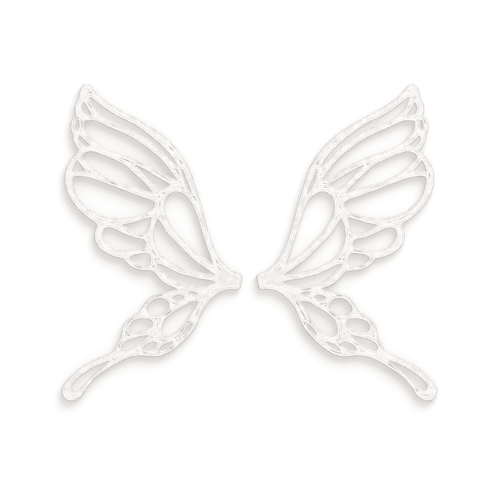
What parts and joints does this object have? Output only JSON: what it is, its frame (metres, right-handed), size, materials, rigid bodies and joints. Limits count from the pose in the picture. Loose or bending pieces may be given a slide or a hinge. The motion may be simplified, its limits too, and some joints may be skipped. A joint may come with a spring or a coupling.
{
  "type": "fairy wing pair",
  "caption": "Mirrored pair of flat openwork fairy wings with scalloped forewings, veined windows, swallow tails and blunt root tabs.",
  "frame": {"origin": "under the middle of the pair, in the plane that both wings lie on", "axes": "+X across the pair towards the right wing, +Y up the wings from tails to tips, +Z out of the wings' flat upper face"},
  "size_m": [0.0714, 0.0602, 0.0016],
  "materials": {
    "natural_filament": "natural translucent filament, satin sheen, printed lines left as they are"
  },
  "bodies": {
    "left_wing": {"left_wing": "natural_filament"},
    "right_wing": {"right_wing": "natural_filament"}
  },
  "joints": [
    {"name": "right_wing_lift", "type": "slide", "parent": "left_wing", "child": "right_wing", "axis": [0, 0, 1], "range_m": [0, 0.03]}
  ]
}
